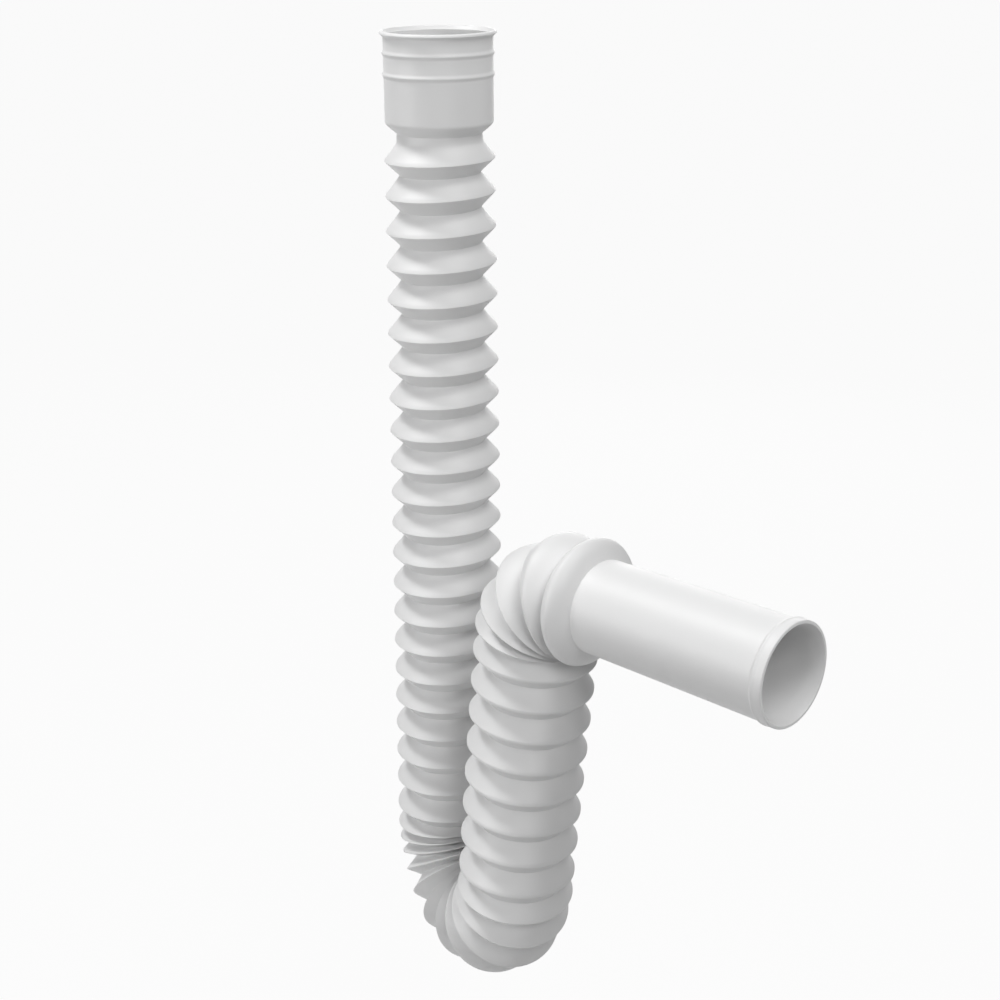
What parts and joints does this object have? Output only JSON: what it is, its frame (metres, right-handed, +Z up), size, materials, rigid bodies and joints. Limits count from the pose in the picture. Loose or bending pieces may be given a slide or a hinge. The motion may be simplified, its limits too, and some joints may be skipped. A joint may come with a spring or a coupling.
{
  "type": "flexible sink trap",
  "caption": "Blow-moulded bellows trap hose with a flared inlet socket, a tight U-bend and a plain horizontal outlet spigot.",
  "frame": {"origin": "centre of the inlet socket's mouth, where the sink waste enters", "axes": "+Z up out of the inlet, +X along the outlet spigot, away from the hose"},
  "size_m": [0.2243, 0.071, 0.4142],
  "materials": {
    "white_polypropylene": "white moulded polypropylene with a satin sheen"
  },
  "bodies": {
    "root": {"trap_hose": "white_polypropylene"}
  },
  "joints": []
}
